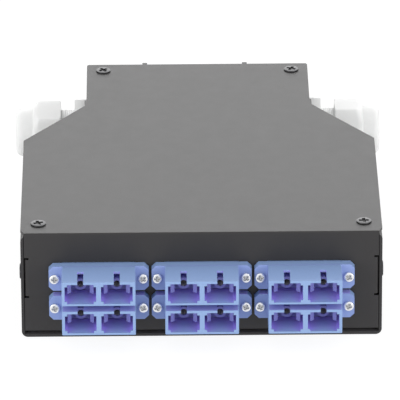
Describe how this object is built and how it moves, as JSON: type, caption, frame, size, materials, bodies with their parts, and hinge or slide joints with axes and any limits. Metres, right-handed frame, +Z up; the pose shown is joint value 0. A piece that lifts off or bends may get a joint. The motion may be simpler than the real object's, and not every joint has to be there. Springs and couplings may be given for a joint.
{
  "type": "din-rail fibre box",
  "caption": "Slim dark steel fibre patch box for a top-hat rail: wide front with blue duplex adapters, tapered shoulders, narrow rear neck with white cable glands and a sprung rail clip.",
  "frame": {"origin": "on the underside of the base, at the middle of the case's width and depth", "axes": "+Z up through the lid, +Y from the front panel back to the rail, +X to the right seen from the front"},
  "size_m": [0.1344, 0.1705, 0.0406],
  "materials": {
    "case_paint": "fine textured satin powder coat",
    "black_screw": "black oxide, satin",
    "bright_screw": "bright nickel plate",
    "zinc_steel": "clear zinc plate",
    "spring_steel": "drawn wire, smooth",
    "adapter_blue": "smooth moulded, soft sheen",
    "latch_blue": "smooth moulded",
    "ceramic_white": "polished ceramic",
    "gland_white": "fine matt moulded polyamide",
    "seal_rubber": "matt",
    "tray_grey": "matt moulded",
    "clear_cover": "clear, polished"
  },
  "bodies": {
    "case": {"base_tray": "case_paint", "lid": "case_paint", "lid_screws": "black_screw", "side_screws": "black_screw", "lid_clinch_nuts": "zinc_steel", "side_clinch_nuts": "zinc_steel", "adapter_nuts": "zinc_steel", "clip_screws": "zinc_steel", "clip_nuts": "zinc_steel", "tray_studs": "zinc_steel", "tray_nuts": "zinc_steel", "din_guide_rivets": "zinc_steel", "adapter_screws": "bright_screw", "adapter_upper_left": "adapter_blue", "latch_inserts_upper_left": "latch_blue", "ferrule_sleeves_upper_left": "ceramic_white", "adapter_upper_middle": "adapter_blue", "latch_inserts_upper_middle": "latch_blue", "ferrule_sleeves_upper_middle": "ceramic_white", "adapter_upper_right": "adapter_blue", "latch_inserts_upper_right": "latch_blue", "ferrule_sleeves_upper_right": "ceramic_white", "adapter_lower_left": "adapter_blue", "latch_inserts_lower_left": "latch_blue", "ferrule_sleeves_lower_left": "ceramic_white", "adapter_lower_middle": "adapter_blue", "latch_inserts_lower_middle": "latch_blue", "ferrule_sleeves_lower_middle": "ceramic_white", "adapter_lower_right": "adapter_blue", "latch_inserts_lower_right": "latch_blue", "ferrule_sleeves_lower_right": "ceramic_white", "din_bracket": "case_paint", "din_spring": "spring_steel", "splice_tray": "tray_grey", "splice_holder": "tray_grey", "tray_cover": "clear_cover", "gland_washer_left": "seal_rubber", "gland_body_left": "gland_white", "gland_seal_left": "seal_rubber", "gland_locknut_left": "gland_white", "gland_washer_right": "seal_rubber", "gland_body_right": "gland_white", "gland_seal_right": "seal_rubber", "gland_locknut_right": "gland_white"},
    "din_latch": {"din_latch": "case_paint"},
    "gland_nut_left": {"gland_cap_nut_left": "gland_white"},
    "gland_nut_right": {"gland_cap_nut_right": "gland_white"}
  },
  "joints": [
    {"name": "din_latch_slide", "type": "slide", "parent": "case", "child": "din_latch", "axis": [-1, 0, 0], "range_m": [0, 0.005], "stiffness_N_per_m": 1600, "springref_m": -0.005, "deforming": ["din_spring"]},
    {"name": "gland_nut_left_turn", "type": "hinge", "parent": "case", "child": "gland_nut_left", "pos_m": [-0.05795, 0.0578, 0.02], "axis": [-1, 0, 0], "continuous": true},
    {"name": "gland_nut_right_turn", "type": "hinge", "parent": "case", "child": "gland_nut_right", "pos_m": [0.05795, 0.0578, 0.02], "axis": [1, 0, 0], "continuous": true}
  ]
}
